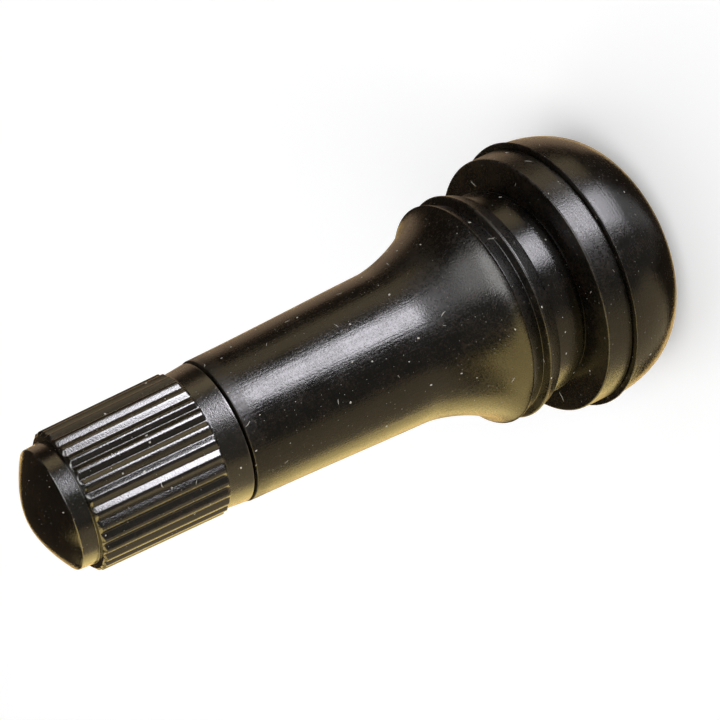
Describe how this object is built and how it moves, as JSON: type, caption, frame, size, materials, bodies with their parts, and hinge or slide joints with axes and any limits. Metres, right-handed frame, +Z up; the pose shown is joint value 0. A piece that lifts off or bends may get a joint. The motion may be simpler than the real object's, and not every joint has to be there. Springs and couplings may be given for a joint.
{
  "type": "snap-in tyre valve",
  "caption": "Snap-in rubber tyre valve: domed head, rim groove, flared stem, brass barrel with a spring core, and a ribbed screw cap.",
  "frame": {"origin": "centre of the flat underside of the rubber head", "axes": "+Z up the valve's axis, from the head towards the cap"},
  "size_m": [0.0196, 0.0196, 0.0458],
  "materials": {
    "rubber": "satin moulded rubber",
    "brass": "turned",
    "steel": "drawn wire",
    "gasket": "smooth",
    "seal_rubber": "matt",
    "cap_plastic": "satin moulded plastic"
  },
  "bodies": {
    "stem": {"rubber_body": "rubber", "barrel": "brass", "core_plug": "brass", "core_barrel": "brass", "core_gasket": "gasket", "core_spring": "steel"},
    "pin": {"core_pin": "steel", "plunger_cup": "brass", "plunger_seal": "seal_rubber"},
    "cap_seal": {"cap_seal": "seal_rubber"},
    "cap": {"cap": "cap_plastic"}
  },
  "joints": [
    {"name": "pin_press", "type": "slide", "parent": "stem", "child": "pin", "axis": [0, 0, -1], "range_m": [0, 0.0014], "stiffness_N_per_m": 900, "springref_m": -0.001, "deforming": ["core_spring"]},
    {"name": "cap_lift", "type": "slide", "parent": "stem", "child": "cap_seal", "axis": [0, 0, 1], "range_m": [0, 0.01191]},
    {"name": "cap_turn", "type": "hinge", "parent": "cap_seal", "child": "cap", "pos_m": [0, 0, 0.0328], "axis": [0, 0, 1], "range_deg": [0, 5400]}
  ],
  "couplings": [
    {"joint": "cap_turn", "follows": "cap_lift", "rad_per_m": 7913.3}
  ]
}
